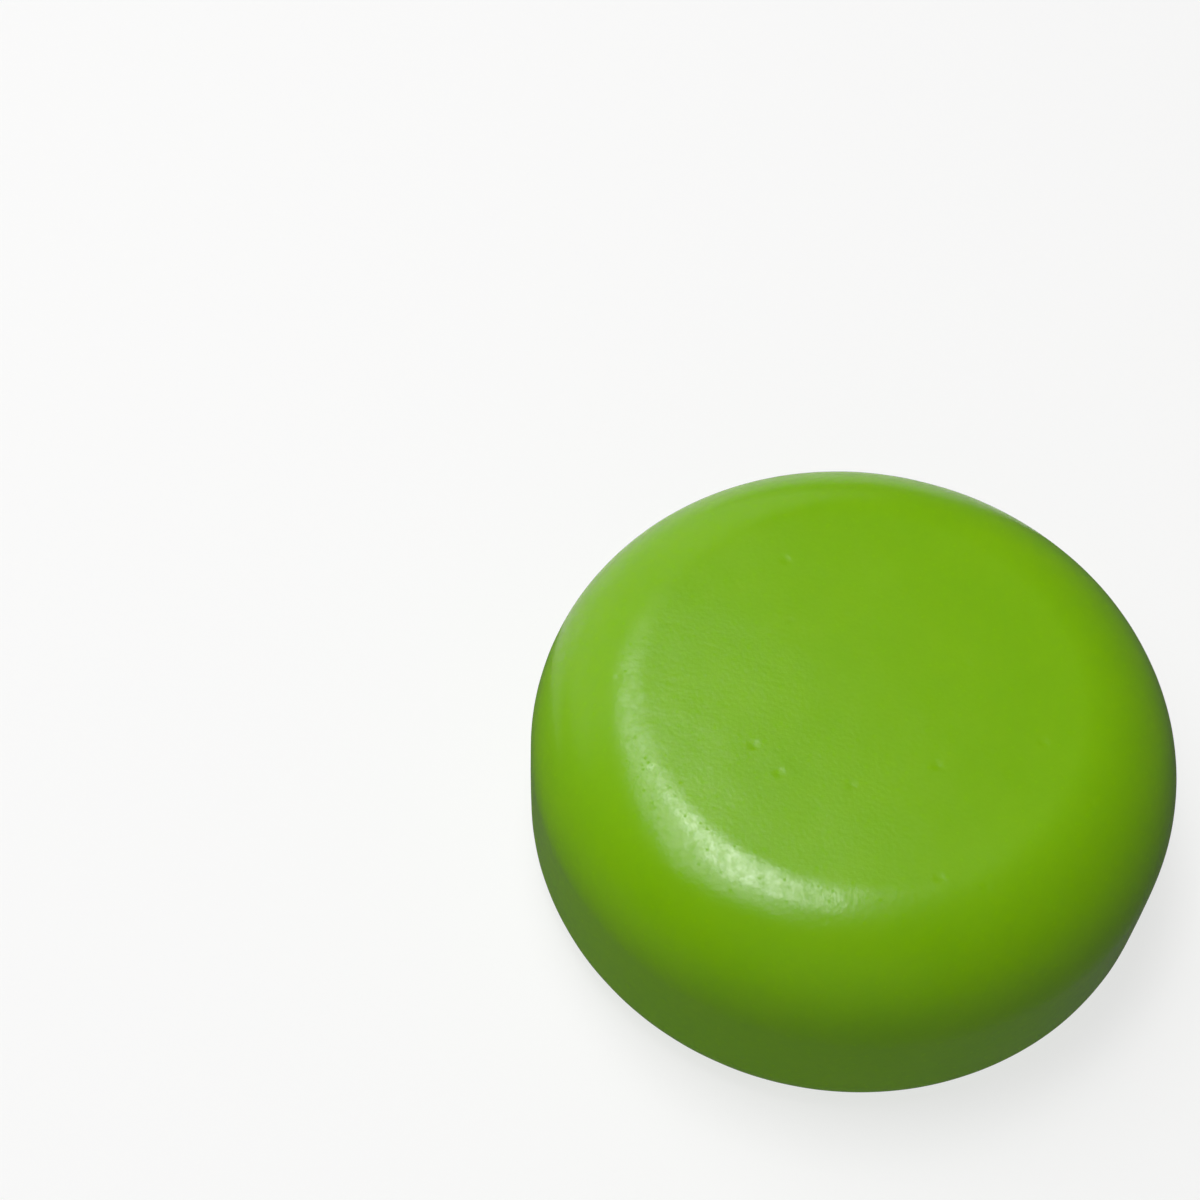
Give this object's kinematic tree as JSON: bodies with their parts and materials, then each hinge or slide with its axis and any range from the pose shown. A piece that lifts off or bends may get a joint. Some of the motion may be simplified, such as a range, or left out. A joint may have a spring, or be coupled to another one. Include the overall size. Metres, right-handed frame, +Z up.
{
  "type": "shaving soap puck",
  "caption": "Thick round cast cake of green soap with a broad rolled shoulder, a nearly flat top, an upright side and a flat base to rest on.",
  "frame": {"origin": "centre of the flat base (the pour face), on the face the puck rests on", "axes": "+Z up along the puck's axis of symmetry; the puck is round, so +X and +Y are any two level directions at right angles"},
  "size_m": [0.07, 0.07, 0.028],
  "materials": {
    "soap": "satin, waxy, dyed through, as cast against a smooth rubber mould"
  },
  "bodies": {
    "root": {"soap_puck": "soap"}
  },
  "joints": []
}
